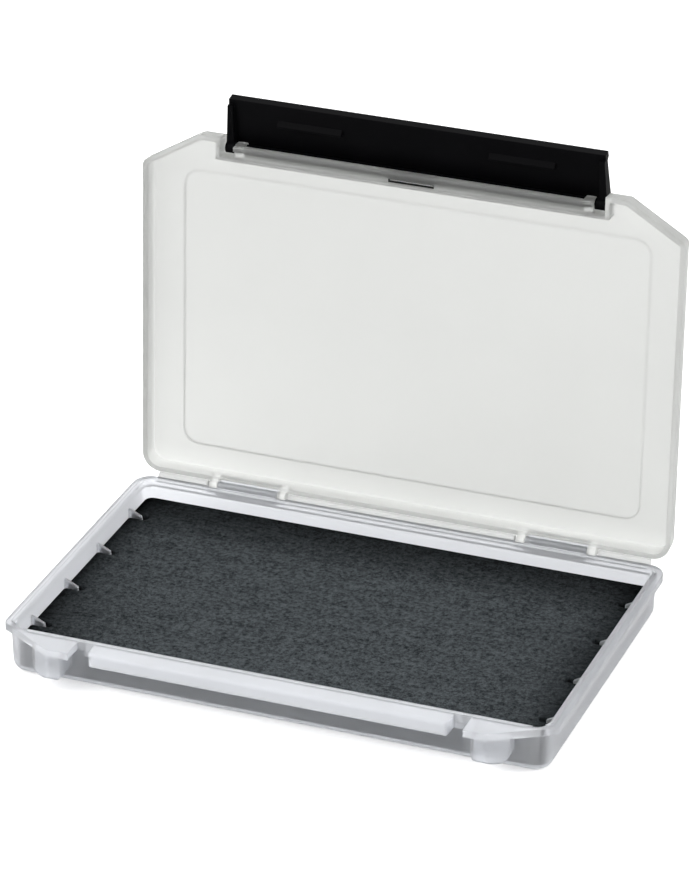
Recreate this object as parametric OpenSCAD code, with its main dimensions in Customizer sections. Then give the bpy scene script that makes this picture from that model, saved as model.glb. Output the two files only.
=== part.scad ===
// Thin tackle case: a translucent tray lined with foam, a hinged lid with
// chamfered front corners, and one wide latch that pivots on the lid's front.
//
// Millimetres. The origin is the middle of the tray's base. +X is to the
// right, -Y is the latch side and +Z is up. The lid and the latch are drawn
// shut and then turned to the angles given under Pose.

/* [Tray] */
// Overall width of the case across its rim
case_w = 205; // [180:1:260]
// Front-to-back size of the tray body at its rim
tray_d = 124.8; // [105:0.2:160]
// Height of the rim plane above the base
tray_h = 17.5; // [16:0.5:30]
// Thickness of the tray's walls
wall_t = 1.6; // [1.2:0.1:2]
// Thickness of the tray's floor
floor_t = 1.5; // [1:0.1:2.5]
// How far each wall leans out from base to rim
wall_draft = 0.5; // [0.2:0.1:1.5]
// Radius of the tray body's two upright front corners, outside, at the rim
body_r = 7; // [7:0.1:11]
// Radius of the tray body's two upright rear corners, outside, at the rim
rear_r = 5.5; // [5.5:0.1:9]
// Radius of the edge round the base
base_r = 4; // [2.5:0.5:4.5]
// Chamfer inside the tray between floor and walls
floor_chamfer = 1.2; // [0.8:0.1:1.6]

/* [Rim] */
// How far the rim stands out from the tray's walls
rim_reach = 2.2; // [2.2:0.1:3.5]
// Thickness of the rim
rim_t = 2.8; // [2:0.1:3.5]
// Radius of the rim's two rear corners
rim_r = 7; // [6:0.5:12]
// Radius that softens each end of the two front chamfers
chamfer_r = 3; // [1:0.5:5]
// Height of the lip that stands above the rim inside the lid
lip_h = 0.5; // [0.4:0.1:1.2]

/* [Front corners] */
// How far the two front noses stand out from the tray's front wall
nose_reach = 8.8; // [8.6:0.1:12]
// Width of each front corner's chamfer
chamfer_w = 21.8; // [14:0.2:26]
// Depth of each front corner's chamfer
chamfer_d = 13.1; // [8:0.1:15]
// Width of the bay between the noses, which the latch fills
bay_w = 145.2; // [120:0.2:150]

/* [Bumpers] */
// Width of the bumper under each nose
bumper_w = 13; // [8:0.5:16]
// How far the nose overhangs its bumper beside the bay
bumper_step = 2.4; // [1:0.1:4]
// Height of the bumper's lower edge above the base
bumper_z = 5.5; // [3:0.5:9]
// Wall thickness of the hollow bumper
bumper_t = 1.5; // [1.2:0.1:2]
// Radius of the bumper's lower side corners
bumper_r = 3.5; // [1.5:0.5:4]
// Radius of the bumper's upright edges
bumper_edge_r = 1.8; // [1:0.1:2.2]

/* [Catch ledge] */
// Gap between each end of the ledge and the bay's side
ledge_end_gap = 6.1; // [5:0.1:12]
// Height of the ledge's front skirt
ledge_h = 5.1; // [3.5:0.1:6]
// Wall thickness of the ledge
ledge_t = 1.6; // [1.2:0.1:2]
// Radius of the ledge's upper front edge
ledge_r = 1.5; // [0.6:0.1:1.5]
// Number of ribs under the ledge
ledge_ribs = 5; // [1:1:9]

/* [Wall ribs] */
// Number of ribs on each short wall
rib_n = 4; // [2:1:5]
// Distance between neighbouring ribs
rib_pitch = 29.2; // [10:0.2:30]
// Thickness of a rib
rib_t = 1.2; // [0.8:0.1:2]
// How far a rib stands out from the wall at the floor
rib_foot = 5.5; // [4.75:0.25:6]
// How far a rib stands out at the top of the foam
rib_neck = 4.75; // [2:0.25:4.75]
// Height above the base at which a rib runs out into the wall
rib_top = 13.5; // [12:0.5:15]

/* [Foam liner] */
// Thickness of the foam
foam_t = 9.7; // [6:0.1:10.5]
// Clearance between the foam and the foot of the walls
foam_gap = 0.2; // [0.2:0.1:1]
// Width of the notch cut for a rib
notch_w = 3.4; // [2.6:0.1:5]
// Clearance between the end of a rib and the end of its notch
notch_end_gap = 1.9; // [1:0.1:3]

/* [Hinge] */
// Distance of each hinge's middle from the middle of the case
hinge_x = 60; // [30:1:65]
// Width of each hinge
hinge_w = 30; // [20:1:36]
// Distance of the hinge axis behind the rim's rear edge
hinge_back = 1.5; // [1.5:0.1:3.5]
// Distance of the hinge axis below the rim plane
hinge_drop = 0.1; // [0:0.05:0.3]
// Radius of the hinge rod on the lid
rod_r = 1.3; // [1:0.05:1.35]
// Radial clearance of the rod in the tray's clip
rod_gap = 0.05; // [0.02:0.01:0.09]
// Outer radius of the clips and of the brackets' ends
knuckle_r = 2.1; // [1.9:0.05:2.1]
// Clearance round the knuckles, in the notches of the rim and the lid
hinge_gap = 0.3; // [0.2:0.05:0.5]
// Play between the open lid and the heels on which it leans
heel_play = 0.3; // [0.3:0.05:0.5]
// Width of a bracket that carries the rod
bracket_w = 3; // [2:0.5:4]
// Width of the slot through which the rod snaps into the clip
snap_w = 2.2; // [1.4:0.1:2.3]

/* [Lid] */
// Height of the closed lid above the rim plane
lid_h = 7.5; // [7.5:0.5:12]
// Thickness of the lid's top
lid_t = 1.5; // [1.2:0.1:1.8]
// Lean of the lid's sides from rim to top
lid_draft = 0.4; // [0:0.1:0.8]
// Radius of the edge round the lid's top
lid_edge_r = 2; // [1:0.25:2.5]
// Gap between the lid's sides and the tray's lip
lip_gap = 0.4; // [0.3:0.05:0.6]
// Gap between the closed lid and the rim plane
seat_gap = 0.1; // [0.05:0.05:0.2]
// Depth of the stacking recess in the lid's top
panel_step = 0.5; // [0.2:0.1:0.8]
// Margin from the lid's sides to the stacking recess
panel_side = 14; // [10:0.5:20]
// Margin from the lid's rear edge to the stacking recess
panel_rear = 11; // [8:0.5:20]
// Margin from the bay to the stacking recess
panel_front = 9; // [6:0.5:16]
// Radius of the recess's corners
panel_r = 6; // [2:0.5:12]
// Thickness of the wall between the latch bay and the lid's hollow
bay_wall = 1.1; // [0.8:0.1:1.4]
// Thickness of the bay's two side walls
bay_side_t = 1.6; // [1.2:0.1:2]
// Setback of the channel's lip behind the noses
lip_setback = 2.9; // [2.6:0.1:3.4]
// Thickness of the channel's lip
channel_lip_t = 1.6; // [1:0.1:1.8]
// Thickness of the channel's floor
channel_t = 1.4; // [1:0.1:1.5]
// Width of the window slit in the middle of the channel
slit_w = 17; // [8:1:30]
// Length of the window slit from front to back
slit_d = 1; // [0.6:0.1:1.2]

/* [Latch] */
// Gap between the latch and each side of the bay
latch_side_gap = 0.9; // [0.4:0.1:1.5]
// Thickness of the latch's front plate
plate_t = 1.8; // [1.4:0.1:2.2]
// Gap between the plate and the catch ledge
plate_gap = 0.3; // [0.2:0.05:0.5]
// Height of the latch's lower edge above the base
latch_z = 4; // [2:0.5:6]
// Thickness of the web between the plate and the pivot
web_t = 1.6; // [1.2:0.1:2]
// Distance from the pivot up to the latch's top face
web_top = 2.3; // [2:0.1:2.3]
// Distance of the pivot below the lid's top face
pivot_drop = 2.5; // [2.5:0.1:3]
// Distance of the pivot behind the noses
pivot_back = 4.8; // [4.7:0.1:4.8]
// Radius of the barrel round the pivot line
barrel_r = 1.8; // [1.4:0.1:1.8]
// Radius of the pivot pins
pin_r = 1.05; // [0.8:0.05:1.2]
// Radial clearance of the pins in the lid's bosses
pin_gap = 0.05; // [0.02:0.01:0.09]
// Outer radius of the lid's bosses
boss_r = 2.4; // [2:0.1:2.4]
// Width of a boss
boss_w = 3.2; // [2.4:0.1:4]
// How much narrower each side of the latch is at its tip than at its ears
latch_taper = 1; // [0:0.1:2]
// Width of each of the latch's ears
ear_w = 4; // [3:0.1:5]
// Radius of an ear round its pin
ear_r = 2.1; // [1.8:0.05:2.1]
// Side gap between the latch and a boss
boss_gap = 0.3; // [0.2:0.05:0.5]
// Thickness of the cheek that stiffens each side of the latch
cheek_t = 2.5; // [1.2:0.1:2.5]
// Depth of a cheek near the latch's tip
cheek_tip = 1.5; // [0.8:0.1:2]
// How far the finger lip stands out from the plate
finger_d = 1.5; // [0.8:0.1:2.5]
// Height of the finger lip
finger_h = 2; // [1.4:0.1:3]
// Length of each hook
hook_w = 24.5; // [12:0.5:36]
// Distance of each hook's middle from the middle of the latch
hook_x = 40; // [22:0.5:50]
// How far a hook stands out from the plate
hook_d = 1.8; // [1.4:0.05:2]
// Play between a hook and the underside of the catch ledge
hook_play = 0.2; // [0.15:0.05:0.4]

/* [Pose] */
// Angle at which the lid stands open
lid_open = 92.2; // [0:0.1:92.2]
// Angle at which the latch stands open on the lid
latch_open = 77.5; // [0:0.1:90]

/* [Hidden] */

$fn = 64;
arc_steps = 8;      // chords in one rounded corner of an outline
bite = 0.6;         // depth to which one moulded feature runs into another
over = 1;           // extra length of a cutting shape
skin = 0.02;        // thickness of the slices that a hull joins

frost = [0.87, 0.89, 0.90, 0.62];
black = [0.07, 0.07, 0.075];
charcoal = [0.13, 0.13, 0.14];

// Tray
body_w = case_w - 2 * rim_reach;
front_y = -tray_d / 2;
rear_y = tray_d / 2 + rim_reach;
nose_y = front_y - nose_reach;
cavity_w = body_w - 2 * wall_t;
cavity_d = tray_d - 2 * wall_t;
lip_z = tray_h + lip_h;
foam_z = floor_t + foam_t;

// Lid, drawn shut
lid_z = tray_h + seat_gap;
lid_top = tray_h + lid_h;
lid_wall = rim_reach - lip_gap;
lid_inner_y = front_y - lip_gap;
lid_front_y = lid_inner_y - bay_wall;
channel_y = nose_y + lip_setback;

// Latch, drawn shut
latch_w = bay_w - 2 * latch_side_gap;
pivot_y = nose_y + pivot_back;
pivot_z = lid_top - pivot_drop;
channel_z = pivot_z - barrel_r - boss_gap;
ear_x = latch_w / 2 - ear_w;
boss_x = ear_x - boss_gap - boss_w;
barrel_x = boss_x - boss_gap;
pin_l = boss_gap + boss_w;
notch_r = boss_r + boss_gap;
channel_x = ear_x - boss_gap + 0.1;
plate_in = pivot_back - plate_t;
ledge_w = bay_w - 2 * ledge_end_gap;
ledge_y = nose_y + plate_t + plate_gap;
ledge_z = tray_h - ledge_h;

// Hinge
hinge_y = rear_y + hinge_back;
hinge_z = tray_h - hinge_drop;
clip_w = hinge_w - 2 * bracket_w - 2 * hinge_gap;
heel_l = 2 * knuckle_r - 0.2;
heel_z = hinge_back - heel_play;

// Corners of the rim and lid in plan, anticlockwise, as [x, y, radius]
rim_corners = [
    [case_w / 2, rear_y, rim_r],
    [-case_w / 2, rear_y, rim_r],
    [-case_w / 2, nose_y + chamfer_d, chamfer_r],
    [-case_w / 2 + chamfer_w, nose_y, chamfer_r],
    [case_w / 2 - chamfer_w, nose_y, chamfer_r],
    [case_w / 2, nose_y + chamfer_d, chamfer_r]
];

// ---- outlines ----

function xy(p) = [p.x, p.y];
function unit(v) = v / norm(v);
function before(list, i) = xy(list[(i + len(list) - 1) % len(list)]);
function after(list, i) = xy(list[(i + 1) % len(list)]);

// Half of the angle between the two sides that meet in corner i
function half_angle(list, i) =
    let (a = unit(before(list, i) - xy(list[i])), b = unit(after(list, i) - xy(list[i])))
    acos(a * b) / 2;

// Direction from corner i into the outline, halfway between its sides
function inward(list, i) =
    let (a = unit(before(list, i) - xy(list[i])), b = unit(after(list, i) - xy(list[i])))
    unit(a + b);

// The same corners moved inwards, so that each side shifts by the distance k
function inset(list, k) = [
    for (i = [0:len(list) - 1])
        let (p = xy(list[i]) + inward(list, i) * k / sin(half_angle(list, i)))
        [p.x, p.y, max(list[i][2] - k, 0.3)]
];

// Points of corner i, rounded to its own radius
function corner_points(list, i) =
    let (
        r = list[i][2],
        half = half_angle(list, i),
        centre = xy(list[i]) + inward(list, i) * r / sin(half),
        first = xy(list[i]) + unit(before(list, i) - xy(list[i])) * r / tan(half) - centre,
        start = atan2(first.y, first.x),
        turn = 180 - 2 * half
    )
    [for (s = [0:arc_steps]) centre + r * [cos(start + turn * s / arc_steps), sin(start + turn * s / arc_steps)]];

// A closed outline with every corner rounded
function rounded(list) = [for (i = [0:len(list) - 1]) each corner_points(list, i)];

// Corners of the tray's body in plan, inset by k
function body_corners(k) =
    let (x = body_w / 2 - k, y = tray_d / 2 - k)
    [[x, y, rear_r - k], [-x, y, rear_r - k], [-x, -y, body_r - k], [x, -y, body_r - k]];

// Corners of a rectangle between two opposite points, all of one radius
function box_corners(lo, hi, r) = [[hi.x, hi.y, r], [lo.x, hi.y, r], [lo.x, lo.y, r], [hi.x, lo.y, r]];

// ---- helpers ----

// A profile drawn in [y, z], run along X for the width w about x = 0
module along_x(w) {
    rotate([90, 0, 90]) linear_extrude(w, center = true) children();
}

// A plate with the rim's plan, inset by k, from the height z
module rim_plate(k, z, t) {
    translate([0, 0, z]) linear_extrude(t) polygon(rounded(inset(rim_corners, k)));
}

module both_sides(x) {
    for (side = [-1, 1]) translate([side * x, 0, 0]) children();
}

// Turns what it holds from shut to the angle at which the lid stands
module swung_lid() {
    translate([0, hinge_y, hinge_z]) rotate([-lid_open, 0, 0]) translate([0, -hinge_y, -hinge_z]) children();
}

// Turns what it holds from shut to the angle at which the latch stands
module swung_latch() {
    translate([0, pivot_y, pivot_z]) rotate([-latch_open, 0, 0]) translate([0, -pivot_y, -pivot_z]) children();
}

// ---- tray ----

// Section of wall and floor, from the centre of a corner of radius r outwards
module wall_section(r) {
    foot = r - wall_draft;
    difference() {
        union() {
            polygon([[0, 0], [foot - base_r, 0], [foot, base_r], [r, lip_z], [0, lip_z]]);
            intersection() {
                translate([foot - base_r, base_r]) circle(base_r);
                translate([foot - base_r, 0]) square(base_r);
            }
        }
        polygon([
            [-over, floor_t],
            [foot - wall_t - floor_chamfer, floor_t],
            [foot - wall_t, floor_t + floor_chamfer],
            [r - wall_t, lip_z],
            [r - wall_t, lip_z + over],
            [-over, lip_z + over]
        ]);
    }
}

// One straight wall, whose outside is the distance d from the middle
module straight_wall(d, length) {
    translate([d - rear_r, 0, 0]) rotate([90, 0, 0]) linear_extrude(length, center = true)
        wall_section(rear_r);
}

// One upright corner at the body's corner x, y
module corner_wall(x, y, r, turn) {
    translate([x, y, 0]) rotate(turn) rotate_extrude(angle = 90) wall_section(r);
}

// The walls and the floor, with the lip kept off the lid's front chamfers
module tray_shell() {
    side_l = tray_d - rear_r - body_r;
    x = body_w / 2;
    y = tray_d / 2;
    difference() {
        union() {
            for (side = [0, 1]) mirror([side, 0, 0]) {
                translate([0, (body_r - rear_r) / 2, 0]) straight_wall(x, side_l);
                corner_wall(x - rear_r, y - rear_r, rear_r, 0);
                corner_wall(x - body_r, body_r - y, body_r, -90);
            }
            rotate(90) straight_wall(y, body_w - 2 * rear_r);
            rotate(-90) straight_wall(y, body_w - 2 * body_r);
            translate([rear_r - x, body_r - y, 0]) cube([body_w - 2 * rear_r, side_l, floor_t]);
            translate([body_r - x, rear_r - y, 0]) cube([body_w - 2 * body_r, body_r, floor_t]);
        }
        translate([0, 0, tray_h]) linear_extrude(lip_h + over) difference() {
            square([case_w + 2 * over, 2 * rear_y - 2 * nose_y], center = true);
            polygon(rounded(inset(rim_corners, rim_reach - lip_gap / 4)));
        }
    }
}

// Rim round the walls and out to the noses, open at the latch bay
module rim() {
    difference() {
        rim_plate(0, tray_h - rim_t, rim_t);
        translate([0, 0, tray_h - rim_t - over]) linear_extrude(rim_t + 2 * over)
            polygon(rounded(body_corners(bite)));
        translate([-bay_w / 2, nose_y - over, tray_h - rim_t - over])
            cube([bay_w, nose_reach + over, rim_t + 2 * over]);
        both_sides(hinge_x) both_sides(hinge_w / 2 - bracket_w / 2) translate([0, hinge_y, hinge_z])
            along_x(bracket_w + 2 * hinge_gap) circle(knuckle_r + hinge_gap);
    }
}

// Plan of one bumper, or with k above 0 of the hollow inside its walls
module bumper_plan(k) {
    x0 = bay_w / 2 + bumper_step + k;
    x1 = x0 + bumper_w - 2 * k;
    root_y = front_y + (k > 0 ? 0 : bite);
    intersection() {
        polygon(rounded(inset(rim_corners, k)));
        polygon(rounded([
            [x1, root_y, 0.1],
            [x0, root_y, 0.1],
            [x0, nose_y, max(bumper_edge_r - k, 0.3)],
            [x1, nose_y, 0.3]
        ]));
    }
}

// Bumper under the right-hand nose, hollow from below
module bumper() {
    x0 = bay_w / 2 + bumper_step;
    top = tray_h - rim_t;
    difference() {
        intersection() {
            translate([0, 0, bumper_z]) linear_extrude(top - bumper_z + bite) bumper_plan(0);
            translate([0, nose_y - over, 0]) rotate([90, 0, 0]) mirror([0, 0, 1])
                linear_extrude(nose_reach + 2 * over + bite)
                polygon(rounded(box_corners([x0, bumper_z], [x0 + bumper_w, tray_h + bumper_r], bumper_r)));
            translate([x0 + bumper_w / 2, 0, 0]) along_x(bumper_w + 2 * over)
                polygon(rounded(box_corners([nose_y, bumper_z], [0, tray_h + bumper_r], bumper_t)));
        }
        translate([0, 0, bumper_z - over]) linear_extrude(top - bumper_z + over) bumper_plan(bumper_t);
    }
}

// Section of the catch ledge: a channel that is open below
module ledge_section() {
    difference() {
        polygon(rounded([
            [front_y + bite, tray_h, 0.1],
            [ledge_y, tray_h, ledge_r],
            [ledge_y, ledge_z, 0.5],
            [front_y + bite, ledge_z, 0.1]
        ]));
        translate([ledge_y + ledge_t, ledge_z - over])
            square([front_y + bite + over - ledge_y - ledge_t, ledge_h - ledge_t + over]);
    }
}

module catch_ledge() {
    depth = front_y + bite - ledge_y;
    intersection() {
        union() {
            along_x(ledge_w) ledge_section();
            for (i = [0:ledge_ribs - 1])
                translate([(i - (ledge_ribs - 1) / 2) * ledge_w / (ledge_ribs + 1), 0, 0])
                    along_x(rib_t) translate([ledge_y + bite, ledge_z + bite])
                        square([depth - bite, ledge_h - bite - ledge_t / 2]);
            both_sides(ledge_w / 2 - ledge_t / 2) along_x(ledge_t) translate([ledge_y + bite, ledge_z])
                square([depth - bite, ledge_h - ledge_t / 2]);
        }
        translate([0, 0, ledge_z - over]) linear_extrude(ledge_h + 2 * over)
            polygon(rounded([
                [ledge_w / 2, front_y + 2 * bite, 0.1],
                [-ledge_w / 2, front_y + 2 * bite, 0.1],
                [-ledge_w / 2 + bite, ledge_y, ledge_r],
                [ledge_w / 2 - bite, ledge_y, ledge_r]
            ]));
    }
}

// One rib on the right-hand wall, with its foot on the floor
module wall_rib() {
    wall_x = cavity_w / 2;
    foot_x = wall_x - wall_draft;
    rotate([90, 0, 0]) linear_extrude(rib_t, center = true)
        polygon([
            [foot_x + bite / 2, floor_t - bite / 2],
            [foot_x - rib_foot, floor_t - bite / 2],
            [foot_x - rib_foot, floor_t],
            [foot_x - rib_neck, foam_z],
            [wall_x - bite, rib_top],
            [wall_x + bite, rib_top]
        ]);
}

// Clip that holds the lid's rod, with the heel on which the open lid rests
module hinge_clip() {
    translate([0, hinge_y, hinge_z]) along_x(clip_w)
        difference() {
            union() {
                circle(knuckle_r);
                polygon([
                    [-hinge_back - bite, hinge_drop],
                    [-hinge_back - bite, hinge_drop - rim_t],
                    [0, -knuckle_r],
                    [heel_l - 1, -bite],
                    [heel_l, heel_z - bite],
                    [heel_l, heel_z],
                    [0, heel_z],
                    [-rod_r, hinge_drop]
                ]);
            }
            circle(rod_r + rod_gap);
            rotate(70) translate([0, -snap_w / 2]) square([2 * knuckle_r, snap_w]);
        }
}

module tray() {
    color(frost) {
        tray_shell();
        rim();
        for (side = [0, 1]) mirror([side, 0, 0]) bumper();
        catch_ledge();
        for (side = [0, 1], i = [0:rib_n - 1])
            mirror([side, 0, 0]) translate([0, (i - (rib_n - 1) / 2) * rib_pitch, 0]) wall_rib();
        both_sides(hinge_x) hinge_clip();
    }
}

// ---- foam liner ----

// The block of foam without its notches: it keeps the gap foam_gap to the
// foot of the walls, and its lower edge is cut off along the floor's chamfer
module foam_block() {
    k = wall_t + wall_draft + foam_gap;
    intersection() {
        translate([0, 0, floor_t]) linear_extrude(foam_t) polygon(rounded(body_corners(k)));
        hull() {
            translate([0, 0, floor_t]) linear_extrude(skin)
                polygon(rounded(body_corners(k + floor_chamfer)));
            translate([0, 0, floor_t + floor_chamfer]) linear_extrude(foam_t)
                polygon(rounded(body_corners(k)));
        }
    }
}

module foam_liner() {
    notch_x = cavity_w / 2 - wall_draft - rib_foot - notch_end_gap;
    color(charcoal) difference() {
        foam_block();
        for (side = [0, 1], i = [0:rib_n - 1])
            mirror([side, 0, 0]) translate([notch_x, (i - (rib_n - 1) / 2) * rib_pitch, floor_t - over])
                linear_extrude(foam_t + 2 * over) {
                    translate([notch_w / 2, 0]) circle(notch_w / 2);
                    translate([notch_w / 2, -notch_w / 2]) square([rib_foot + notch_end_gap, notch_w]);
                }
    }
}

// ---- lid ----

// Outer form, with leaning sides and a rounded upper edge
module lid_block() {
    hull() {
        rim_plate(0, lid_z, skin);
        for (a = [0, 30, 60, 90])
            rim_plate(
                lid_draft + lid_edge_r * (1 - cos(a)),
                lid_top - skin - lid_edge_r * (1 - sin(a)),
                skin);
    }
}

module panel(z, t) {
    translate([0, 0, z]) linear_extrude(t)
        polygon(rounded(box_corners(
            [panel_side - case_w / 2, lid_front_y + panel_front],
            [case_w / 2 - panel_side, rear_y - panel_rear],
            panel_r)));
}

// The space inside the lid, with the underside of the stacking recess
module lid_hollow() {
    difference() {
        hull() {
            rim_plate(lid_wall, lid_z - over, skin);
            rim_plate(lid_wall + lid_draft, lid_top - lid_t - skin, skin);
        }
        panel(lid_top - lid_t - panel_step, panel_step + over);
        translate([-bay_w / 2 - bay_side_t, nose_y - over, lid_z - 2 * over])
            cube([bay_w + 2 * bay_side_t, lid_inner_y - nose_y + over, lid_h + 3 * over]);
    }
}

// Floor and lip of the channel in which the latch turns
module latch_channel() {
    difference() {
        along_x(2 * channel_x) {
            translate([channel_y, channel_z - channel_t])
                square([lid_front_y - channel_y + bite, channel_t]);
            translate([channel_y, lid_z]) square([channel_lip_t, channel_z - lid_z]);
        }
        translate([-slit_w / 2, lid_front_y - slit_d / 2 - bite, channel_z - channel_t - over])
            cube([slit_w, slit_d, channel_t + 2 * over]);
    }
}

// Boss that carries one of the latch's pins, without its bore
module pin_boss() {
    foot_z = channel_z - channel_t / 2;
    translate([boss_x + boss_w / 2, 0, 0]) along_x(boss_w) {
        translate([pivot_y, pivot_z]) circle(boss_r);
        translate([pivot_y - boss_r, foot_z]) square([2 * boss_r, pivot_z - foot_z]);
        translate([pivot_y, pivot_z - boss_r]) square([lid_front_y + bite - pivot_y, 2 * boss_r - bite]);
    }
}

// Rod between two brackets that stand out from the lid's rear wall
module hinge_rod() {
    translate([0, hinge_y, hinge_z]) {
        along_x(hinge_w) circle(rod_r);
        both_sides(hinge_w / 2 - bracket_w / 2) along_x(bracket_w) {
            circle(knuckle_r);
            polygon([
                [-hinge_back - bite, seat_gap + hinge_drop],
                [0, seat_gap + hinge_drop],
                [knuckle_r * cos(50), knuckle_r * sin(50)],
                [-hinge_back - bite, lid_h - lid_edge_r - bite]
            ]);
        }
    }
}

module lid() {
    color(frost) swung_lid() {
        difference() {
            union() {
                difference() {
                    lid_block();
                    lid_hollow();
                    panel(lid_top - panel_step, 2 * over);
                    translate([-bay_w / 2, nose_y - over, lid_z - over])
                        cube([bay_w, lid_front_y - nose_y + over, lid_h + 2 * over]);
                    both_sides(hinge_x) translate([0, hinge_y, hinge_z])
                        along_x(clip_w + 2 * hinge_gap) circle(knuckle_r + hinge_gap);
                }
                latch_channel();
                for (side = [0, 1]) mirror([side, 0, 0]) pin_boss();
            }
            translate([0, pivot_y, pivot_z]) along_x(2 * ear_x) circle(pin_r + pin_gap);
        }
        both_sides(hinge_x) hinge_rod();
    }
}

// ---- latch ----

// Section about the pivot: a barrel, a web and the hanging front plate
module latch_section() {
    tip = latch_z - pivot_z;
    difference() {
        polygon(rounded([
            [0.3, web_top, 0.3],
            [-pivot_back, web_top, web_t],
            [-pivot_back, tip, 0.4],
            [0.3, tip, 0.1]
        ]));
        translate([-plate_in, tip - over]) square([plate_in + over, web_top - web_t - tip + over]);
    }
    polygon([
        [-pivot_back + bite, tip + finger_h + finger_d],
        [-pivot_back - finger_d, tip + finger_h],
        [-pivot_back - finger_d, tip],
        [-pivot_back + bite, tip]
    ]);
}

// Section of one ear and of the cheek that runs down from it
module cheek_section() {
    circle(ear_r);
    polygon([
        [-plate_in - bite, web_top - bite],
        [0, web_top - bite],
        [0, -ear_r],
        [cheek_tip - plate_in, latch_z - pivot_z + finger_h],
        [-plate_in - bite, latch_z - pivot_z + finger_h]
    ]);
}

module hook_section() {
    catch_z = ledge_z - hook_play - pivot_z;
    polygon([
        [-plate_in - bite, catch_z],
        [hook_d - plate_in, catch_z],
        [hook_d - plate_in, catch_z - 0.7],
        [-plate_in - bite, catch_z - 0.7 - hook_d]
    ]);
}

// Outline of the latch from the front, narrower towards its tip
module latch_taper_block() {
    tip = latch_z - pivot_z - over;
    w = latch_w / 2;
    rotate([90, 0, 0]) linear_extrude(4 * pivot_back, center = true)
        polygon([
            [w, web_top + over],
            [-w, web_top + over],
            [-w, -ear_r],
            [latch_taper - w, tip],
            [w - latch_taper, tip],
            [w, -ear_r]
        ]);
}

module latch() {
    color(black) swung_lid() swung_latch() translate([0, pivot_y, pivot_z]) {
        intersection() {
            union() {
                difference() {
                    along_x(latch_w + 2 * over) latch_section();
                    both_sides(boss_x + boss_w / 2) along_x(boss_w + 2 * boss_gap)
                        translate([-notch_r, -notch_r]) square([notch_r + over, 2 * notch_r + over]);
                }
                both_sides(latch_w / 2 - cheek_t / 2) along_x(cheek_t + bite) cheek_section();
            }
            latch_taper_block();
        }
        along_x(2 * barrel_x) circle(barrel_r);
        both_sides(ear_x + ear_w / 2) along_x(ear_w) {
            circle(ear_r);
            translate([-plate_in - bite, web_top - web_t]) square([plate_in + bite, web_t / 2]);
        }
        both_sides(ear_x - (pin_l - bite) / 2) along_x(pin_l + bite) circle(pin_r);
        both_sides(hook_x) along_x(hook_w) hook_section();
    }
}

tray();
foam_liner();
lid();
latch();
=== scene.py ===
# %% [markdown]
# # A thin tackle case, dressed for the camera
#
# The object is a translucent case for flies and lures: a tray with a foam pad,
# a hinged lid and one wide black latch. Its three mouldings come from the CAD
# model, which is loaded as a fixed frame, and they keep their shapes. This file
# gives them the look of moulded polypropylene. It makes the foam pad again, with
# the soft edges and the fine surface that a plain solid can't have, and it adds
# a slim bead behind the tray's rim.

# %% Load the frame
import math

import bpy
from mathutils import Matrix, Vector, geometry, noise


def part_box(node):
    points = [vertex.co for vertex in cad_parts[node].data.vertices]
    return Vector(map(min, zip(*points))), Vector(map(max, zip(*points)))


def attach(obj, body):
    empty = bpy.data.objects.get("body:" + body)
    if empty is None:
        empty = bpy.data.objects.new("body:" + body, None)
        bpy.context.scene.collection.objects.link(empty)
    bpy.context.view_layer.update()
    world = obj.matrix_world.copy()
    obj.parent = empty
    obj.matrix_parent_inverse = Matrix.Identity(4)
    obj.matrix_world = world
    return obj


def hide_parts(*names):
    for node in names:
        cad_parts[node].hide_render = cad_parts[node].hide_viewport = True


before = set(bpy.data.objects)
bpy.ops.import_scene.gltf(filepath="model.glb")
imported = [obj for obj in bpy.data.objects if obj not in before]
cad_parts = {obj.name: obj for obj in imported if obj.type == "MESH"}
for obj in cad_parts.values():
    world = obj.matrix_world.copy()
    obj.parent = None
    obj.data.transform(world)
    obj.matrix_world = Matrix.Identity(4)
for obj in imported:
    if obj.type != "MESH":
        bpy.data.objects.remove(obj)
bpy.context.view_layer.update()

# %% [markdown]
# ## Units and colours
#
# Blender works in metres and a case is measured in millimetres, so one constant
# turns the second into the first. Colours are written as the sRGB hex values
# that an eye or a colour picker reads. Shaders work with linear light, so one
# function turns the first into the second.

# %% Units and colours
MM = 0.001


def linear(hex_colour):
    """An sRGB hex colour, such as "#E6E9EA", as linear RGBA."""
    parts = [int(hex_colour[i:i + 2], 16) / 255 for i in (1, 3, 5)]
    return [p / 12.92 if p <= 0.04045 else ((p + 0.055) / 1.055) ** 2.4 for p in parts] + [1.0]


print("mid grey in linear light:", round(linear("#808080")[0], 3))

# %% [markdown]
# ## The camera
#
# The photograph was taken with a long lens, about 21 degrees to the right of the
# case's front and 27 degrees above the table. A camera is placed by an aim point,
# two angles and a distance, and its field of view is set by the focal length.
# The frame is 700 by 869 pixels, so the long side, the height, takes the
# sensor's full height.

# %% The camera
AZIMUTH, ELEVATION, ROLL = (math.radians(angle) for angle in (20.6026, 26.5441, 0.3065))
DISTANCE = 1754.227 * MM
SLIDE = (17.9045 * MM, -46.8924 * MM)  # how far the view's middle lies from the aim point
AIM = Vector((0, 64.25 * MM, 0))
FOCAL_PIXELS, FRAME_HEIGHT = 4784.41, 869
SENSOR = 36  # mm

back = Vector((math.sin(AZIMUTH) * math.cos(ELEVATION),
               -math.cos(AZIMUTH) * math.cos(ELEVATION),
               math.sin(ELEVATION)))
level = Vector((0, 0, 1)).cross(back).normalized()
upright = back.cross(level)
right = math.cos(ROLL) * level + math.sin(ROLL) * upright
up = math.cos(ROLL) * upright - math.sin(ROLL) * level

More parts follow.
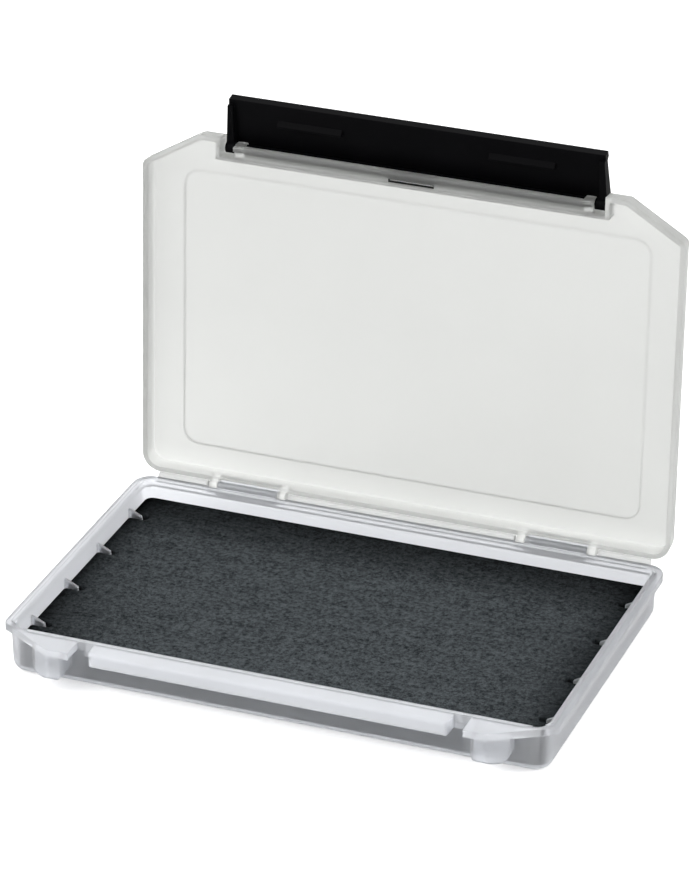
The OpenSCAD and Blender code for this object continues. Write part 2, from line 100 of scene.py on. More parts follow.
lens = bpy.data.cameras.new("photo_camera")
lens.sensor_fit, lens.sensor_height, lens.sensor_width = "AUTO", SENSOR, SENSOR
lens.lens = FOCAL_PIXELS * SENSOR / FRAME_HEIGHT
lens.clip_start, lens.clip_end = 0.05, 50
camera = bpy.data.objects.new("photo_camera", lens)
stand = AIM - SLIDE[0] * right - SLIDE[1] * up + DISTANCE * back
turn = Matrix((right, up, back)).transposed().to_4x4()
camera.matrix_world = Matrix.Translation(stand) @ turn
bpy.context.scene.collection.objects.link(camera)
bpy.context.scene.camera = camera
print("lens, mm:", round(lens.lens, 1), "camera at, m:", tuple(round(v, 3) for v in stand))

# %% [markdown]
# ## Building a material from nodes
#
# A shader is a small graph. Writing it out node by node is long, so one helper
# adds a node, sets what it is told to and makes its links: a plain value goes
# into the socket, another node's output is linked to it, and a node by itself
# stands for its first output.

# %% A helper that adds a node
def add(tree, kind, inputs=None, **settings):
    """Adds a node; inputs holds values, outputs or nodes, settings the node's own options."""
    node = tree.nodes.new(kind)
    for name, value in settings.items():
        setattr(node, name, value)
    for name, value in (inputs or {}).items():
        if isinstance(value, bpy.types.Node):
            value = value.outputs[0]
        if isinstance(value, bpy.types.NodeSocket):
            tree.links.new(value, node.inputs[name])
        else:
            node.inputs[name].default_value = value
    return node


def new_material(name):
    """An empty node material, with its tree."""
    material = bpy.data.materials.new(name)
    material.use_nodes = True
    material.node_tree.nodes.clear()
    return material, material.node_tree


print(add.__doc__)

# %% [markdown]
# ## Floor and light
#
# The photograph is a catalogue shot on white, with next to no shadow. The floor
# is a wide white sheet. A white diffuse sheet renders pale grey, so it gets a
# little glow, but only for the rays that the Light Path node calls camera or
# transmission rays: the picture and a view through plastic show it white, and
# the light that it throws on the case stays as it was. It keeps the shadow.

# %% The floor
REACH = 6.0  # m from the middle of the sheet to each edge
GLOW_SEEN, GLOW_THROUGH = 0.40, 0.55  # for the camera, and through clear plastic

corners = [(-REACH, -REACH, 0), (REACH, -REACH, 0), (REACH, REACH, 0), (-REACH, REACH, 0)]
floor_mesh = bpy.data.meshes.new("floor")
floor_mesh.from_pydata(corners, [], [(0, 1, 2, 3)])
floor = bpy.data.objects.new("floor", floor_mesh)
bpy.context.scene.collection.objects.link(floor)

paper, tree = new_material("backdrop_paper_white")
ray = add(tree, "ShaderNodeLightPath").outputs
looked = add(tree, "ShaderNodeMath", {0: ray["Is Camera Ray"], 1: ray["Is Transmission Ray"]},
             operation="MAXIMUM")
amount = add(tree, "ShaderNodeMapRange", {
    "Value": ray["Is Transmission Ray"], "To Min": GLOW_SEEN, "To Max": GLOW_THROUGH})
sheet = add(tree, "ShaderNodeBsdfDiffuse", {"Color": linear("#F7F7F7")})
glow = add(tree, "ShaderNodeEmission", {"Color": (1, 1, 1, 1), "Strength": amount})
both = add(tree, "ShaderNodeAddShader", {0: sheet, 1: glow})
shown = add(tree, "ShaderNodeMixShader", {0: looked, 1: sheet, 2: both})
add(tree, "ShaderNodeOutputMaterial", {"Surface": shown})
floor_mesh.materials.append(paper)
print("floor, m across:", 2 * REACH)

# %% [markdown]
# The world works in the same way. It is plain white where the camera, a
# reflection or a view through plastic meets it, and a dimmer even sky for the
# light on the case.

# %% The world
SKY = 0.55  # strength of the even light on the case

world = bpy.data.worlds.new("white_studio")
world.use_nodes = True
tree = world.node_tree
tree.nodes.clear()
ray = add(tree, "ShaderNodeLightPath").outputs
direct = add(tree, "ShaderNodeMath", {0: ray["Is Camera Ray"], 1: ray["Is Glossy Ray"]},
             operation="MAXIMUM")
white = add(tree, "ShaderNodeMath", {0: direct, 1: ray["Is Transmission Ray"]},
            operation="MAXIMUM")
strength = add(tree, "ShaderNodeMapRange", {"Value": white, "To Min": SKY, "To Max": 1.0})
sky = add(tree, "ShaderNodeBackground", {"Color": (1, 1, 1, 1), "Strength": strength})
add(tree, "ShaderNodeOutputWorld", {"Surface": sky})
bpy.context.scene.world = world
bpy.context.scene.view_settings.view_transform = "Standard"
print("sky strength on the case:", SKY)

# %% [markdown]
# Three large soft lamps give the case its form: a key above to the left of the
# camera, a low fill from the right that lights the lid's edge, and a weak one
# behind for the tray's rim. Their level is one at which a colour renders about
# as it is written.

# %% The lamps
LAMP_TARGET = Vector((0, 0, 0.03))  # m, just above the tray's middle
LAMPS = [
    # name, where it hangs (m), side (m), power (W)
    ("key_left", (-0.85, -0.80, 1.05), 0.9, 13.0),
    ("fill_right", (1.20, 0.12, 0.50), 0.8, 10.0),
    ("top_back", (0.1, 0.60, 1.35), 0.9, 6.0),
]
for name, place, side, power in LAMPS:
    lamp = bpy.data.lights.new(name, "AREA")
    lamp.shape, lamp.size, lamp.energy = "SQUARE", side, power
    holder = bpy.data.objects.new(name, lamp)
    aimed = (Vector(place) - LAMP_TARGET).to_track_quat("Z", "Y").to_matrix().to_4x4()
    holder.matrix_world = Matrix.Translation(place) @ aimed
    bpy.context.scene.collection.objects.link(holder)
print("lamps:", len(LAMPS))

# %% [markdown]
# ## Frosted polypropylene, injection moulded
#
# The tray and the lid are natural polypropylene: colourless, a little milky and
# pressed against a finely sparked steel mould, so that light passes but an image
# behind it blurs. Real milkiness is scattering inside the wall. That is slow to
# render and noisy in walls this thin, so one Principled shader stands for it:
# transmission lets the light through, what is left of the base colour is the
# milk, and the roughness is the satin of the mould.
#
# A Bevel node rounds the sharp CAD edges in the shading, as the half millimetre
# of every moulding's edge does. The nodes named "tint", "rounded edges" and
# "plastic" are what a moulding tunes afterwards.

# %% Frosted polypropylene
IOR_POLYPROPYLENE = 1.49
EDGE_ROUNDING = 0.55 * MM
FLOW_CLOUD = 38 * MM  # slow change of shade, as from the flow of the melt
SPARK_SATIN = 0.9 * MM  # a real spark texture is finer than 0.1 mm and wouldn't show
SPARK_HEIGHT = 0.03 * MM
BEVEL_SAMPLES = 6


def frosted_polypropylene(name, tints, satin_from, clear):
    """Translucent satin plastic; clear is the share of light that goes through."""
    material, tree = new_material(name)
    place = add(tree, "ShaderNodeTexCoord").outputs["Object"]
    cloud = add(tree, "ShaderNodeTexNoise", {
        "Vector": place, "Scale": 1 / FLOW_CLOUD, "Detail": 2.0}).outputs["Fac"]
    satin = add(tree, "ShaderNodeTexNoise", {
        "Vector": place, "Scale": 1 / SPARK_SATIN, "Detail": 3.0}).outputs["Fac"]
    shade = add(tree, "ShaderNodeMix", {"Factor": cloud, 6: linear(tints[0]), 7: linear(tints[1])},
                data_type="RGBA")
    tint = add(tree, "ShaderNodeVectorMath", {0: shade.outputs[2], "Scale": 1.0},
               operation="SCALE", name="tint")
    rough = add(tree, "ShaderNodeMapRange", {
        "Value": cloud, "To Min": satin_from, "To Max": satin_from + 0.1})
    edges = add(tree, "ShaderNodeBevel", {"Radius": EDGE_ROUNDING},
                samples=BEVEL_SAMPLES, name="rounded edges")
    grain = add(tree, "ShaderNodeBump", {
        "Height": satin, "Normal": edges, "Strength": 0.25, "Distance": SPARK_HEIGHT})
    plastic = add(tree, "ShaderNodeBsdfPrincipled", {
        "Base Color": tint, "Roughness": rough, "IOR": IOR_POLYPROPYLENE,
        "Transmission Weight": clear, "Specular IOR Level": 0.5, "Normal": grain}, name="plastic")
    add(tree, "ShaderNodeOutputMaterial", {"Surface": plastic})
    return material


def finish_node(node, material):
    """Gives one CAD node its material, on every slot that it has."""
    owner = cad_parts[node]
    if not owner.material_slots:
        owner.data.materials.append(material)
    for slot in owner.material_slots:
        slot.material = material
    print(node, "->", material.name)


print("edges look rounded by, mm:", round(EDGE_ROUNDING / MM, 2))

# %% [markdown]
# ## Where a moulding looks different
#
# Thick places look whiter, because more milk lies behind each point of them, and some walls get a
# painted shade that darkens their tint. The places are known in the object's own
# millimetres, so one helper gives a value that goes from one number to another
# across a span of an axis. Such a gradient stays on the piece when it turns.

# %% A gradient along an axis of the object
def along(tree, axis, span, values, mirrored=False):
    """Goes from values[0] to values[1] as the object's axis crosses the span, in mm."""
    place = add(tree, "ShaderNodeTexCoord").outputs["Object"]
    value = add(tree, "ShaderNodeSeparateXYZ", {"Vector": place}).outputs[axis]
    if mirrored:
        value = add(tree, "ShaderNodeMath", {0: value}, operation="ABSOLUTE")
    return add(tree, "ShaderNodeMapRange", {
        "Value": value, "From Min": span[0] * MM, "From Max": span[1] * MM,
        "To Min": values[0], "To Max": values[1]})


print(along.__doc__)

# %% [markdown]
# ## The tray
#
# The tray is the clearer of the two mouldings: the dark foam shows through its front wall. Two
# places in front of that wall are thick and whiter, the catch ledge in the middle and the plates
# on top of the two bumpers beside it. The rear and the side walls look a little darker in the
# photograph, the rear one more so towards the right, and that shade is painted into their tint.

# %% The tray's plastic
TRAY_CLEAR = 0.90
TRAY_EDGE_ROUNDING = 0.85 * MM  # the rim's edges are softer than the rest
# Spans in mm: in front of the front wall, the ledge's ends, the undersides of the
# ledge and of the bumpers' plates, and the tray's walls.
IN_FRONT, LEDGE_END = (-61.7, -61.0), (69.0, 71.0)
LEDGE_FOOT, PLATE_FOOT = (12.0, 12.4), (14.2, 14.8)
REAR_WALL, SIDE_WALL, LEFT_TO_RIGHT = (50, 59), (92, 97), (-60, 90)

tray_plastic = frosted_polypropylene(
    "polypropylene_frosted_tray", ("#E9EBEF", "#F0F2F6"), 0.33, TRAY_CLEAR)
tree = tray_plastic.node_tree
tree.nodes["rounded edges"].inputs["Radius"].default_value = TRAY_EDGE_ROUNDING
print("tray clear:", TRAY_CLEAR)

# %% The tray's thick and milky places
ledge = add(tree, "ShaderNodeMath", {
    0: along(tree, "X", LEDGE_END, (0.44, 0.0), mirrored=True),
    1: along(tree, "Z", LEDGE_FOOT, (0.0, 1.0))}, operation="MULTIPLY")
beside = add(tree, "ShaderNodeMath", {
    0: along(tree, "X", LEDGE_END, (0.0, 1.0), mirrored=True),
    1: along(tree, "Z", PLATE_FOOT, (0.10, 0.36))}, operation="MULTIPLY")
thick = add(tree, "ShaderNodeMath", {0: ledge, 1: beside}, operation="MAXIMUM")
milk = add(tree, "ShaderNodeMath", {0: along(tree, "Y", IN_FRONT, (1.0, 0.0)), 1: thick},
           operation="MULTIPLY")
through = add(tree, "ShaderNodeMath", {0: TRAY_CLEAR, 1: milk}, operation="SUBTRACT")
tree.links.new(through.outputs[0], tree.nodes["plastic"].inputs["Transmission Weight"])
print("thick places whiten over, mm:", LEDGE_END, LEDGE_FOOT, PLATE_FOOT)

# %% The tray's walls, darkened by painted shade
# Painted shade: the rear wall's tint is scaled down, more so towards the right, and the side
# walls' tint a little.
painted_rear_shade = add(tree, "ShaderNodeMath", {
    0: along(tree, "Y", REAR_WALL, (0.0, 1.0)),
    1: along(tree, "X", LEFT_TO_RIGHT, (0.16, 0.27))}, operation="MULTIPLY")
at_rear = add(tree, "ShaderNodeMath", {0: 1.0, 1: painted_rear_shade}, operation="SUBTRACT")
at_side = along(tree, "X", SIDE_WALL, (1.0, 0.90), mirrored=True)
darker = add(tree, "ShaderNodeMath", {0: at_rear, 1: at_side}, operation="MINIMUM")
tree.links.new(darker.outputs[0], tree.nodes["tint"].inputs["Scale"])
finish_node("tray", tray_plastic)

# %% [markdown]
# ## The lid
#
# The lid stands up behind the tray, a shade greyer and a little less clear. Its tint carries
# painted light and shade: it is raised along its foot, where less light reaches it, and it falls
# slowly towards the top, where the lamps light it more. It is also lighter along the latch
# channel, where the wall doubles back. Its upper edges catch the light as a wide soft band, so the
# shaded rounding there is wider.
#
# A narrow slit runs through the channel, and it looks black in the photograph.
# A box in the object's own coordinates picks the slit's walls out, and they get
# a dark tone that lets nothing through.

# %% The lid's plastic
LID_CLEAR = 0.88
# Spans of Z in mm: where the rounding widens, where the tint falls, and the places
# at the latch channel and at the foot where it rises.
LID_WIDENS, LID_FALLS, LID_CHANNEL, LID_FOOT = (45, 80), (30, 90), (138, 147), (21, 28)
WIDE_ROUNDING = 2.2 * MM

lid_plastic = frosted_polypropylene(
    "polypropylene_frosted_lid", ("#C8C9C7", "#CECFCD"), 0.42, LID_CLEAR)
tree = lid_plastic.node_tree
rounding = along(tree, "Z", LID_WIDENS, (EDGE_ROUNDING, WIDE_ROUNDING))
tree.links.new(rounding.outputs[0], tree.nodes["rounded edges"].inputs["Radius"])

# Painted light and shade: the tint rises at the foot and falls towards the top, to even out how
# the lamps light the lid; it steps up again above the latch channel.
top = add(tree, "ShaderNodeMath", {
    0: along(tree, "Z", LID_FALLS, (1.04, 0.955)),
    1: along(tree, "Z", LID_CHANNEL, (0.0, 0.07))}, operation="ADD")
lid_tint_painted_light = add(tree, "ShaderNodeMath", {0: top, 1: along(tree, "Z", LID_FOOT, (0.12, 0.0))},
            operation="ADD")
tree.links.new(lid_tint_painted_light.outputs[0], tree.nodes["tint"].inputs["Scale"])
print("lid clear:", LID_CLEAR)

# %% The lid's slit
SLIT = [("X", 0.0, 8.6), ("Y", 73.35, 0.85), ("Z", 147.8, 0.65)]  # middle, half size in mm

place = add(tree, "ShaderNodeTexCoord").outputs["Object"]
axes = add(tree, "ShaderNodeSeparateXYZ", {"Vector": place}).outputs
in_slit = 1.0
for axis, middle, half in SLIT:
    near = add(tree, "ShaderNodeMath", {0: axes[axis], 1: middle * MM, 2: half * MM},
               operation="COMPARE")
    in_slit = add(tree, "ShaderNodeMath", {0: in_slit, 1: near}, operation="MULTIPLY")
tone = add(tree, "ShaderNodeMix", {
    "Factor": in_slit, 6: tree.nodes["tint"], 7: linear("#0A0A0C")}, data_type="RGBA")
tree.links.new(tone.outputs[2], tree.nodes["plastic"].inputs["Base Color"])
elsewhere = add(tree, "ShaderNodeMath", {0: 1.0, 1: in_slit}, operation="SUBTRACT")
through = add(tree, "ShaderNodeMath", {0: elsewhere, 1: LID_CLEAR}, operation="MULTIPLY")
tree.links.new(through.outputs[0], tree.nodes["plastic"].inputs["Transmission Weight"])
finish_node("lid", lid_plastic)

# %% [markdown]
# ## The bead behind the tray's rim
#
# The open lid leans back over the tray's rear edge, and no daylight shows
# between them in the photograph. A slim bead along the rim closes that gap. It
# is rounded about the hinge line, so the lid turns past it, and it stops on both
# sides of each hinge. It is the thickest of the plastic, so it is the milkiest.
#
# A bead is one section drawn along a line, and Geometry Nodes can follow that
# rule. The section is a circle whose lower front quarter is pulled straight, to
# reach the rim's wall. The path is three lines, between the hinges and beside
# them. The sizes are inputs of the tree, so a moved hinge needs no new tree.

# %% The inputs of the bead's tree
bead_tree = bpy.data.node_groups.new("rim_bead", "GeometryNodeTree")
bead_sockets = {}
for name, kind in [("Radius", "Float"), ("Reach", "Float"), ("Middle Half", "Float"),
                   ("Side Start", "Float"), ("Side End", "Float"), ("Plastic", "Material")]:
    socket = bead_tree.interface.new_socket(
        name, in_out="INPUT", socket_type="NodeSocket" + kind)
    bead_sockets[name] = socket.identifier
bead_tree.interface.new_socket(
    "Geometry", in_out="OUTPUT", socket_type="NodeSocketGeometry")
given = add(bead_tree, "NodeGroupInput").outputs
print("inputs of the bead's tree:", sorted(bead_sockets))

# %% The bead's path
HINGE_Y, HINGE_Z = 66.1 * MM, 17.4 * MM

path = add(bead_tree, "GeometryNodeJoinGeometry")
for stretch in [(("Side End", -1.0), ("Side Start", -1.0)),
                (("Middle Half", -1.0), ("Middle Half", 1.0)),
                (("Side Start", 1.0), ("Side End", 1.0))]:
    ends = []
    for name, sign in stretch:
        x = add(bead_tree, "ShaderNodeMath", {0: given[name], 1: sign}, operation="MULTIPLY")
        ends.append(add(bead_tree, "ShaderNodeCombineXYZ", {"X": x, "Y": HINGE_Y, "Z": HINGE_Z}))
    line = add(bead_tree, "GeometryNodeCurvePrimitiveLine", {"Start": ends[0], "End": ends[1]})
    bead_tree.links.new(line.outputs["Curve"], path.inputs["Geometry"])
print("lines in the path:", len(path.inputs["Geometry"].links))

# %% The bead's section
SECTION_POINTS = 48
HAIR = 1e-6  # m, so that a point on an axis of the section falls on the right side

# The section lies in the path's own frame: its X points to the front, its Y down.
circle = add(bead_tree, "GeometryNodeCurvePrimitiveCircle", {
    "Resolution": SECTION_POINTS, "Radius": given["Radius"]})
spot = add(bead_tree, "ShaderNodeSeparateXYZ", {
    "Vector": add(bead_tree, "GeometryNodeInputPosition")}).outputs
front = add(bead_tree, "FunctionNodeCompare", {0: spot["X"], 1: HAIR},
            data_type="FLOAT", operation="GREATER_THAN")
lower = add(bead_tree, "FunctionNodeCompare", {0: spot["Y"], 1: -HAIR},
            data_type="FLOAT", operation="GREATER_THAN")
quarter = add(bead_tree, "FunctionNodeBooleanMath", {0: front, 1: lower}, operation="AND")
pulled = add(bead_tree, "ShaderNodeCombineXYZ", {"X": given["Reach"], "Y": spot["Y"]})
section = add(bead_tree, "GeometryNodeSetPosition", {
    "Geometry": circle, "Selection": quarter, "Position": pulled})
print("points of the section:", SECTION_POINTS)

# %% From the section to the bead
solid = add(bead_tree, "GeometryNodeCurveToMesh", {
    "Curve": path, "Profile Curve": section, "Fill Caps": True})
real = add(bead_tree, "GeometryNodeRealizeInstances", {"Geometry": solid})
dressed = add(bead_tree, "GeometryNodeSetMaterial", {
    "Geometry": real, "Material": given["Plastic"]})
add(bead_tree, "NodeGroupOutput", {"Geometry": dressed})
print("bead tree:", len(bead_tree.nodes), "nodes")

# %% The rear bead as a plain mesh
bead_plastic = frosted_polypropylene(
    "polypropylene_frosted_thick", ("#E6E7E6", "#ECEDEC"), 0.45, 0.35)
BEAD_SIZES = {"Radius": 1.35 * MM, "Reach": 1.8 * MM, "Middle Half": 44 * MM,
              "Side Start": 76 * MM, "Side End": 95.5 * MM, "Plastic": bead_plastic}

bead = bpy.data.objects.new("rear_bead", bpy.data.meshes.new("rear_bead"))
bpy.context.scene.collection.objects.link(bead)
grow = bead.modifiers.new("bead", "NODES")
grow.node_group = bead_tree
for name, value in BEAD_SIZES.items():
    grow[bead_sockets[name]] = value
evaluated = bead.evaluated_get(bpy.context.evaluated_depsgraph_get())
grown = bpy.data.meshes.new_from_object(evaluated)
bead.modifiers.clear()
bead.data = grown
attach(bead, "tray")
print("rear bead:", len(grown.vertices), "vertices,", len(grown.polygons), "faces")

# %% [markdown]
# ## Black polypropylene, injection moulded
#
# The latch is the same plastic with carbon black in it, so nothing passes
# through. It looks near black from every side, with a soft grey sheen where a
# face turns to the light. The fine spark texture of the mould spreads that
# sheen, so the roughness is well above that of a polished moulding, and the
# specular level is low, because the photograph shows hardly any highlight.

# %% Black polypropylene
BLACK_PATCH = 14 * MM  # slow change of shade and gloss
BLACK_SPARK = 0.7 * MM  # coarser than the real texture, as on the clear plastic
LATCH_EDGE_ROUNDING = 0.4 * MM

latch_plastic, tree = new_material("polypropylene_black_moulded")
place = add(tree, "ShaderNodeTexCoord").outputs["Object"]
patch = add(tree, "ShaderNodeTexNoise", {
    "Vector": place, "Scale": 1 / BLACK_PATCH, "Detail": 3.0}).outputs["Fac"]
spark = add(tree, "ShaderNodeTexNoise", {
    "Vector": place, "Scale": 1 / BLACK_SPARK, "Detail": 2.0}).outputs["Fac"]
shade = add(tree, "ShaderNodeMix", {
    "Factor": patch, 6: linear("#040405"), 7: linear("#08080A")}, data_type="RGBA")
rough = add(tree, "ShaderNodeMapRange", {"Value": patch, "To Min": 0.42, "To Max": 0.55})
edges = add(tree, "ShaderNodeBevel", {"Radius": LATCH_EDGE_ROUNDING}, samples=BEVEL_SAMPLES)
grain = add(tree, "ShaderNodeBump", {
    "Height": spark, "Normal": edges, "Strength": 0.3, "Distance": SPARK_HEIGHT})
plastic = add(tree, "ShaderNodeBsdfPrincipled", {
    "Base Color": shade.outputs[2], "Roughness": rough, "IOR": IOR_POLYPROPYLENE,
    "Specular IOR Level": 0.035, "Normal": grain})
add(tree, "ShaderNodeOutputMaterial", {"Surface": plastic})
finish_node("latch", latch_plastic)

# %% [markdown]
# ## The foam pad: its outline
#
# The pad is cut from a sheet of closed-cell foam by a steel rule, so its outline
# is crisp and its edge is square, with only a hint of rounding. Four notches on
# each short side go round the tray's locating ribs. The outline is written as
# corners and arcs, in the sizes of the CAD pad, and points follow it closely
# enough for the edge to be bent later.

# %% The outline of the pad
lo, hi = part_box("foam_liner")
HALF_W, HALF_D = (hi[0] - lo[0]) / 2, (hi[1] - lo[1]) / 2
PAD_BOTTOM, PAD_TOP = lo[2] + 0.02 * MM, hi[2] - 0.05 * MM
REAR_R, FRONT_R = 3.2 * MM, 4.7 * MM  # radius of the two rear and of the two front corners
FOOT = 1.2 * MM  # width of the bevel round the pad's foot
NOTCH_R = 1.7 * MM
NOTCH_END = 90.8 * MM + NOTCH_R  # centre of a notch's round end
NOTCH_Y = [-43.8 * MM, -14.6 * MM, 14.6 * MM, 43.8 * MM]
STEP = 0.85 * MM  # distance between neighbouring points


def arc(centre, radius, first, last):
    """Points on an arc, from one angle to another in degrees."""
    length = abs(math.radians(last - first)) * radius
    count = max(3, int(length / (0.5 * STEP)))
    angles = [math.radians(first + (last - first) * i / count) for i in range(count + 1)]
    return [(centre[0] + radius * math.cos(a), centre[1] + radius * math.sin(a)) for a in angles]


def fill_gaps(points, step):
    """A closed outline with extra points where two neighbours are further apart than step."""
    full = []
    for a, b in zip(points, points[1:] + points[:1]):
        parts = max(1, round(math.dist(a, b) / step))
        full += [(a[0] + (b[0] - a[0]) * i / parts, a[1] + (b[1] - a[1]) * i / parts)
                 for i in range(parts)]
    return full


right_side = arc((HALF_W - FRONT_R, FRONT_R - HALF_D), FRONT_R, -90, 0)
for y in NOTCH_Y:
    right_side.append((HALF_W, y - NOTCH_R))
    right_side += arc((NOTCH_END, y), NOTCH_R, 270, 90)
    right_side.append((HALF_W, y + NOTCH_R))
right_side += arc((HALF_W - REAR_R, HALF_D - REAR_R), REAR_R, 0, 90)
outline = fill_gaps(right_side + [(-x, y) for x, y in reversed(right_side)], STEP)
print("outline points:", len(outline))
print("pad, mm:", round(2 * HALF_W / MM, 1), "x", round(2 * HALF_D / MM, 1))

# %% [markdown]
# ## The foam pad: its surface
#
# Seen closely, the sheet isn't flat. It was skived from a block, which leaves
# faint rows along its length, a few millimetres apart and never quite straight,
# and its cut cells give it a fine grain. Both are heights here, because a raking
# light then draws them from any side. A distance to the outline says where the
# surface bends down into the cut edge.

# %% Distance to the pad's edge
def from_border(x, y):
    """Distance from a point to the pad's border without its notches, and the way to it."""
    corner = REAR_R if y > 0 else FRONT_R
    qx, qy = abs(x) - (HALF_W - corner), abs(y) - (HALF_D - corner)
    depth = corner - math.hypot(max(qx, 0), max(qy, 0)) - min(max(qx, qy), 0)
    if qx > 0 or qy > 0:
        way = Vector((max(qx, 0), max(qy, 0)))
    else:
        way = Vector((qx >= qy, qx < qy))
    way.normalize()
    return depth, (math.copysign(way.x, x), math.copysign(way.y, y))


def inside(x, y):
    """Distance from a point to the pad's edge, above 0 inside the pad."""
    depth = from_border(x, y)[0]
    for notch in NOTCH_Y:
        depth = min(depth, math.hypot(min(abs(x) - NOTCH_END, 0), y - notch) - NOTCH_R)
    return depth


print("the pad's middle is", round(1e3 * inside(0, 0), 1), "mm from its edge")

# %% Height of the pad's surface
EDGE_R = 0.7 * MM  # how much the steel rule drags the edge down
ROW_DEPTH, ROW_LENGTH, ROW_WIDTH = 0.05 * MM, 30 * MM, 1.75 * MM
GRAIN_DEPTH, GRAIN_SIZE = 0.06 * MM, 1.2 * MM


def pad_height(x, y):
    """Height of the top at a point: rows and grain, and the bend near the edge."""
    rows = noise.noise(Vector((x / ROW_LENGTH, y / ROW_WIDTH, 5.0)))
    rows += 0.6 * noise.noise(Vector((x / (2 * ROW_LENGTH), y / (2 * ROW_WIDTH), 9.0)))
    grain = noise.noise(Vector((x / GRAIN_SIZE, y / GRAIN_SIZE, 1.0)))
    depth = max(0.0, min(inside(x, y), EDGE_R))
    bend = EDGE_R - math.sqrt(EDGE_R ** 2 - (EDGE_R - depth) ** 2)
    hollow = ROW_DEPTH * (0.5 + 0.5 * rows) + GRAIN_DEPTH * (0.5 + 0.5 * grain)
    return PAD_TOP - bend - depth / EDGE_R * hollow


print("height in the middle, mm:", round(1e3 * pad_height(0, 0), 2))

# %% [markdown]
# ## The foam pad: its mesh
#
# The top is a Delaunay triangulation: the outline is its fixed border, three
# rings follow it where the edge bends, and staggered rows of points fill the
# middle. The sides are bands of quads, and the underside is one more
# triangulation, so the mesh is closed.

# %% Points of the pad's top
RING_DEPTHS = [0.18 * EDGE_R, 0.5 * EDGE_R, EDGE_R]
CLEARANCE = 0.4 * STEP  # between the last ring and the middle's points
ROW_STEP = 0.866 * STEP  # rows of an even triangle grid
KEPT = 0.93  # share of its depth that a ring's point really has, or it is left out

ring = []
for a, b, c in zip(outline[-1:] + outline[:-1], outline, outline[1:] + outline[:1]):
    normal = Vector((a[1] - c[1], c[0] - a[0])).normalized()
    for depth in RING_DEPTHS:
        point = (b[0] + depth * normal.x, b[1] + depth * normal.y)
        if inside(*point) > KEPT * depth:
            ring.append(point)

middle = []
for j in range(int(2 * HALF_D / ROW_STEP) + 1):
    y = -HALF_D + j * ROW_STEP
    for i in range(int(2 * HALF_W / STEP) + 1):
        x = -HALF_W + (i + 0.5 * (j % 2)) * STEP
        if inside(x, y) > EDGE_R + CLEARANCE:
            middle.append((x, y))
print("points on the rings:", len(ring), "in the middle:", len(middle))

# %% Mesh of the pad
CUT_BAND = 2.5 * MM  # height of the sides' uppermost band
FOLLOW = 0.97  # inside a notch the foot's bevel shrinks by this share of the depth
WELD = 1e-7  # m within which the triangulation takes two points for one

count = len(outline)
border = [(i, (i + 1) % count) for i in range(count)]
flat = [Vector(p) for p in outline + ring + middle]
spots, _, faces, _, _, _ = geometry.delaunay_2d_cdt(flat, border, [], 1, WELD)
verts = [(p.x, p.y, pad_height(p.x, p.y)) for p in spots]
polygons = [tuple(f) for f in faces]

foot = []
for x, y in outline:
    depth, way = from_border(x, y)
    shift = max(0.0, FOOT - FOLLOW * depth)
    foot.append((x - shift * way[0], y - shift * way[1]))

SIDE_BANDS = [(PAD_TOP - EDGE_R - CUT_BAND, outline), (PAD_BOTTOM + FOOT, outline),
              (PAD_BOTTOM, foot)]
upper = list(range(count))
for z, line in SIDE_BANDS:
    lower = [len(verts) + i for i in range(count)]
    verts += [(x, y, z) for x, y in line]
    polygons += [(upper[i], lower[i], lower[j], upper[j]) for i, j in border]
    upper = lower
under = [Vector(p) for p in foot]
_, _, base, _, _, _ = geometry.delaunay_2d_cdt(under, border, [], 1, WELD)
polygons += [tuple(upper[i] for i in reversed(f)) for f in base]

pad_mesh = bpy.data.meshes.new("foam_pad")
pad_mesh.from_pydata(verts, [], polygons)
pad_mesh.validate()
pad_mesh.shade_smooth()
foam_pad = bpy.data.objects.new("foam_pad", pad_mesh)
bpy.context.scene.collection.objects.link(foam_pad)
print("foam pad:", len(pad_mesh.vertices), "vertices,", len(pad_mesh.polygons), "faces")

# %% [markdown]
# ## The foam pad: its shade near the walls
#
# Foam close to a wall of the tray gets less light, and in the photograph that shows more than the
# plain lamps give: the pad goes nearly black along the rear wall and softly darker along both
# sides, more so in the front left corner. One attribute of the mesh holds that share of light for
# each point, and the foam's colour is multiplied by it, as painted shade.

# %% Light that reaches the foam
FADE_LEFT, FADE_LEFT_MORE, FADE_RIGHT, FADE_REAR = 9, 14, 11, 30  # mm
SIDE_LEAST, REAR_LEAST, REAR_POWER = 0.12, 0.27, 1.3

shares = []
for x, y, z in verts:
    fade = FADE_RIGHT * MM
    if x < 0:
        fade = (FADE_LEFT + FADE_LEFT_MORE * max(0.0, -y / HALF_D)) * MM
    to_side, to_rear = max(0.0, HALF_W - abs(x)), max(0.0, HALF_D - y)
    at_side = SIDE_LEAST + (1 - SIDE_LEAST) * (1 - math.exp(-to_side / fade))
    at_rear = REAR_LEAST + (1 - REAR_LEAST) * min(1.0, to_rear / (FADE_REAR * MM)) ** REAR_POWER
    shares.append(at_side * at_rear)
pad_mesh.attributes.new("painted_wall_shade", "FLOAT", "POINT").data.foreach_set("value", shares)
print("share of light, least and most:", round(min(shares), 3), round(max(shares), 3))

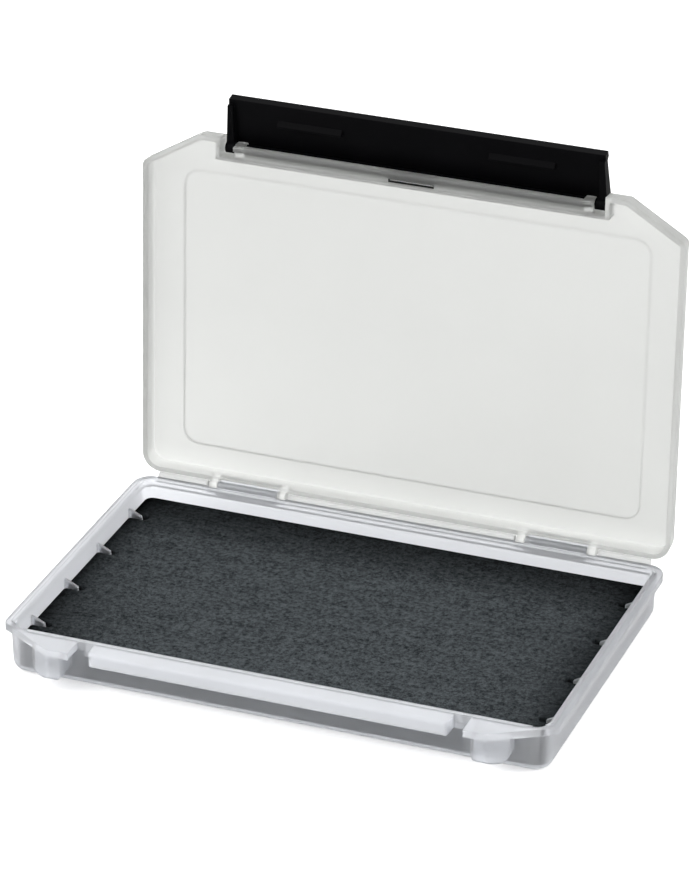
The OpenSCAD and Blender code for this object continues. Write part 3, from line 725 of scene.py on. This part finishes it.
# %% [markdown]
# ## Closed-cell foam
#
# The sheet is a cross-linked polyethylene or EVA foam, dyed charcoal all the way
# through. It has no gloss at all: light gets lost between the cut cells. The
# grain changes the shade from cell to cell, and the rows change it over a wider
# span, so both patterns show even where the light is flat.

# %% Foam material
CELL_GRAIN = 1.3 * MM  # real cells are about 0.3 mm and wouldn't show in the picture
ROW_PITCH, ROW_STRETCH, ROW_SHARE = 2.6 * MM, 0.2, 0.16

foam, tree = new_material("polyethylene_foam_skived_charcoal")
place = add(tree, "ShaderNodeTexCoord").outputs["Object"]
cells = add(tree, "ShaderNodeTexNoise", {
    "Vector": place, "Scale": 1 / CELL_GRAIN, "Detail": 4.0, "Roughness": 0.8}).outputs["Fac"]
stretch = add(tree, "ShaderNodeMapping", {"Vector": place, "Scale": (ROW_STRETCH, 1.0, 1.0)})
rows = add(tree, "ShaderNodeTexNoise", {
    "Vector": stretch, "Scale": 1 / ROW_PITCH, "Detail": 2.0}).outputs["Fac"]
faint = add(tree, "ShaderNodeMath", {0: rows, 1: ROW_SHARE}, operation="MULTIPLY")
blend = add(tree, "ShaderNodeMath", {0: cells, 1: faint}, operation="ADD")
spread = add(tree, "ShaderNodeMapRange", {"Value": blend, "From Min": 0.42, "From Max": 0.75})
shade = add(tree, "ShaderNodeMix", {
    "Factor": spread, 6: linear("#1B1E20"), 7: linear("#555A5D")}, data_type="RGBA")
# Painted shade: the colour is multiplied by the share of light held for each point near the walls.
light = add(tree, "ShaderNodeAttribute", attribute_name="painted_wall_shade").outputs["Fac"]
lit = add(tree, "ShaderNodeMix", {"Factor": 1.0, 6: shade.outputs[2], 7: light},
          data_type="RGBA", blend_type="MULTIPLY")
pores = add(tree, "ShaderNodeBump", {"Height": cells, "Strength": 0.6, "Distance": 0.13 * MM})
matte = add(tree, "ShaderNodeBsdfPrincipled", {
    "Base Color": lit.outputs[2], "Roughness": 0.95, "IOR": 1.45, "Specular IOR Level": 0.0,
    "Normal": pores})
add(tree, "ShaderNodeOutputMaterial", {"Surface": matte})
pad_mesh.materials.append(foam)

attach(foam_pad, "tray")
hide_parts("foam_liner")
print("foam material:", foam.name)

# %% [markdown]
